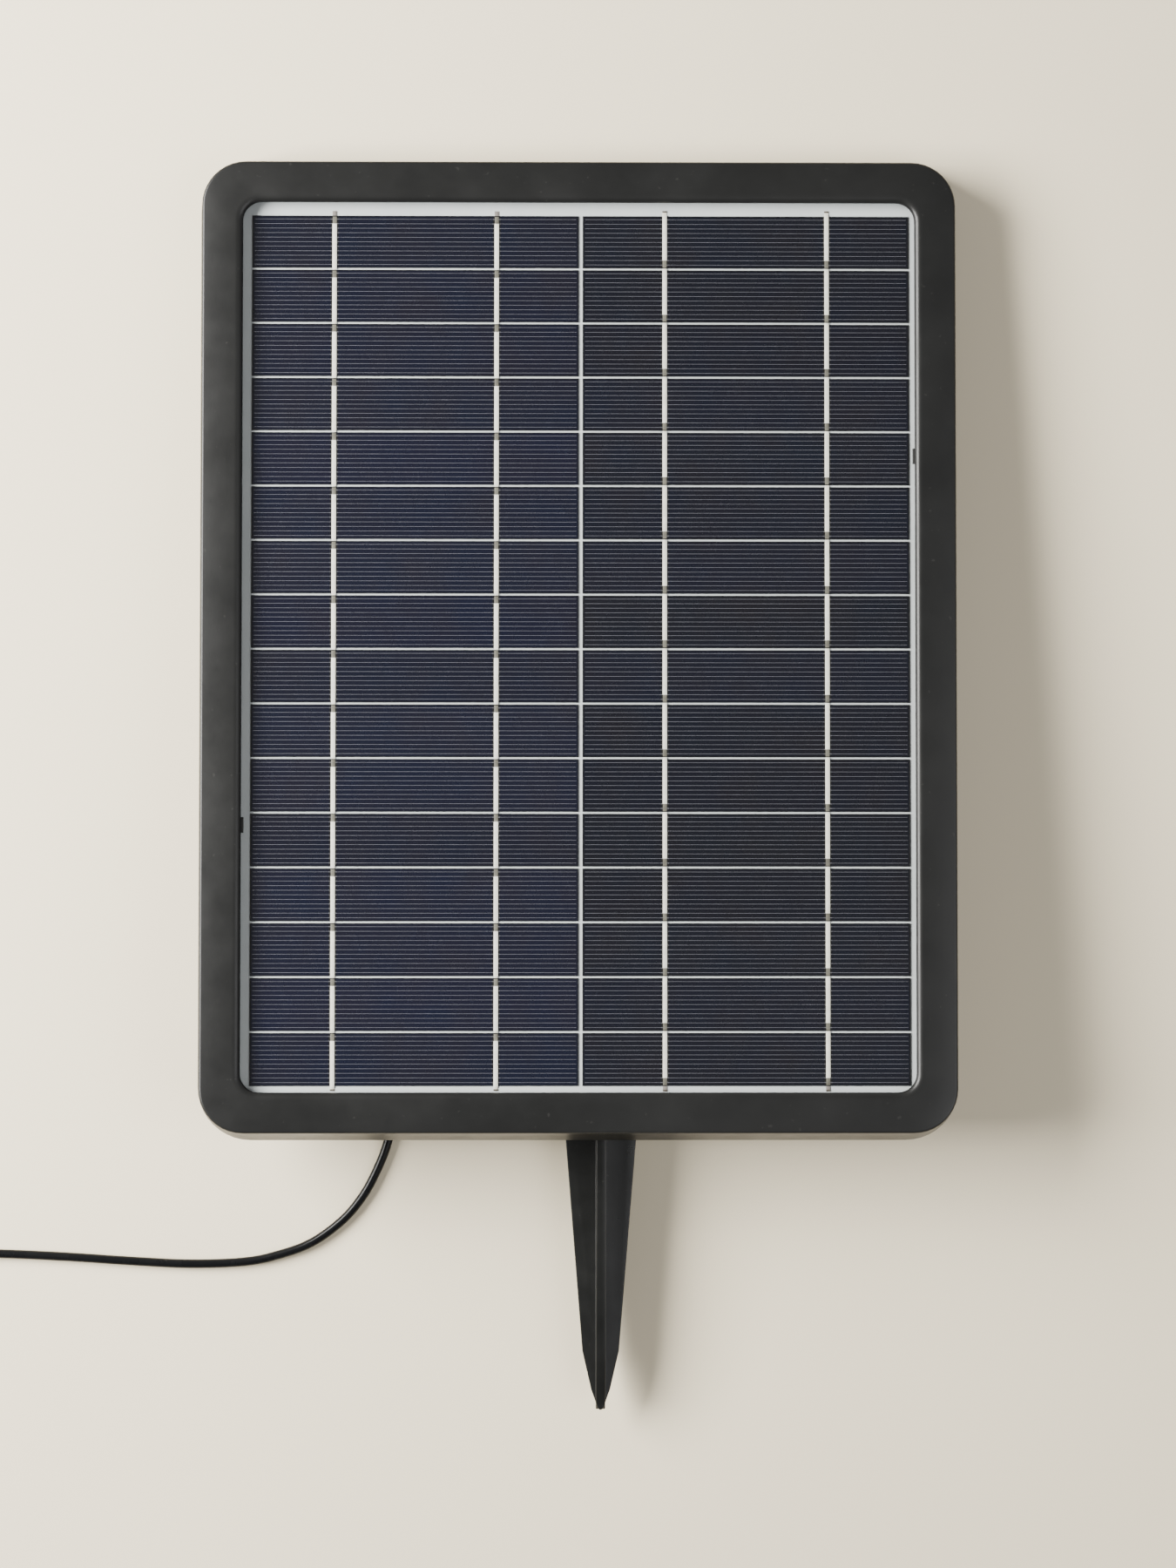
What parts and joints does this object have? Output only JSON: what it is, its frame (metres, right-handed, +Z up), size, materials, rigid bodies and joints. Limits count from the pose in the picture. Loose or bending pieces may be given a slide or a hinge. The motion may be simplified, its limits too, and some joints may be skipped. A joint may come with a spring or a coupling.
{
  "type": "solar panel on a ground spike",
  "caption": "Framed solar panel lying on its back, clamped to a folding ground spike, with its coiled low-voltage lead and barrel plug.",
  "frame": {"origin": "middle of the base of the box round the panel and its spike, on the surface that they lie on", "axes": "+X to the panel's right seen from the front, +Y towards the top edge of the panel, away from the spike's point, +Z up, out of the panel's front"},
  "size_m": [0.5849, 0.6044, 0.0607],
  "materials": {
    "frame_black": "satin moulded, fine grain",
    "seal_black": "matte",
    "clear_glass": "clear, low reflection",
    "clear_encapsulant": "clear film",
    "tinned_ribbon": "tinned, dull cream",
    "cell_blue": "blue polycrystalline grain with printed fingers",
    "sheet_white": "matte white",
    "cover_black": "fine grain",
    "screw_steel": "zinc plated",
    "box_black": "fine grain",
    "board_green": "solder resist",
    "diode_black": "moulded",
    "terminal_green": "moulded",
    "core_red": "insulated cores",
    "gland_black": "moulded",
    "bracket_black": "glass filled",
    "insert_brass": "turned",
    "bolt_steel": "zinc plated",
    "friction_fibre": "fibre disc",
    "spike_black": "satin moulded",
    "knob_black": "satin moulded",
    "lead_black": "smooth jacket, half gloss",
    "tie_black": "woven strap",
    "plug_black": "moulded grip",
    "plug_metal": "nickel plated"
  },
  "bodies": {
    "panel": {"front_frame": "frame_black", "glass_seal": "seal_black", "front_glass": "clear_glass", "front_encapsulant": "clear_encapsulant", "tabbing_ribbons": "tinned_ribbon", "cell_strips": "cell_blue", "rear_encapsulant": "clear_encapsulant", "backsheet": "sheet_white", "bus_ribbons": "tinned_ribbon", "rear_cover": "cover_black", "rear_cover_screws": "screw_steel", "box_adhesive": "seal_black", "junction_box": "box_black", "lid_gasket": "seal_black", "junction_box_lid": "box_black", "lid_screws": "screw_steel", "circuit_board": "board_green", "board_screws": "screw_steel", "blocking_diode": "diode_black", "terminal_block": "terminal_green", "output_tabs": "tinned_ribbon", "core_wires": "core_red", "gland_body": "gland_black", "gland_locknut": "gland_black", "gland_seal": "seal_black", "gland_nut": "gland_black", "hinge_bracket": "bracket_black", "bracket_inserts": "insert_brass", "bracket_screws": "screw_steel", "clamp_bolt": "bolt_steel", "friction_disc": "friction_fibre", "lead": "lead_black", "lead_coil": "lead_black", "coil_tie": "tie_black", "lead_tail": "lead_black", "plug_grip": "plug_black", "plug_barrel": "plug_metal", "plug_insulator": "diode_black"},
    "stake": {"stake_head": "spike_black"},
    "spike": {"ground_spike": "spike_black"},
    "clamp": {"knob_washer": "bolt_steel"},
    "knob": {"clamp_knob": "knob_black", "knob_insert": "insert_brass"}
  },
  "joints": [
    {"name": "tilt", "type": "hinge", "parent": "panel", "child": "stake", "pos_m": [0, -0.06317, 0.016], "axis": [1, 0, 0], "range_deg": [0, 85]},
    {"name": "spike_pull", "type": "slide", "parent": "stake", "child": "spike", "axis": [0, -1, 0], "range_m": [0, 0.029]},
    {"name": "clamp_slide", "type": "slide", "parent": "panel", "child": "clamp", "axis": [1, 0, 0], "range_m": [0, 0.002]},
    {"name": "knob_turn", "type": "hinge", "parent": "clamp", "child": "knob", "pos_m": [0, -0.06317, 0.016], "axis": [1, 0, 0], "range_deg": [0, 720]}
  ],
  "couplings": [
    {"joint": "clamp_slide", "follows": "knob_turn", "m_per_rad": 0.00015915}
  ]
}
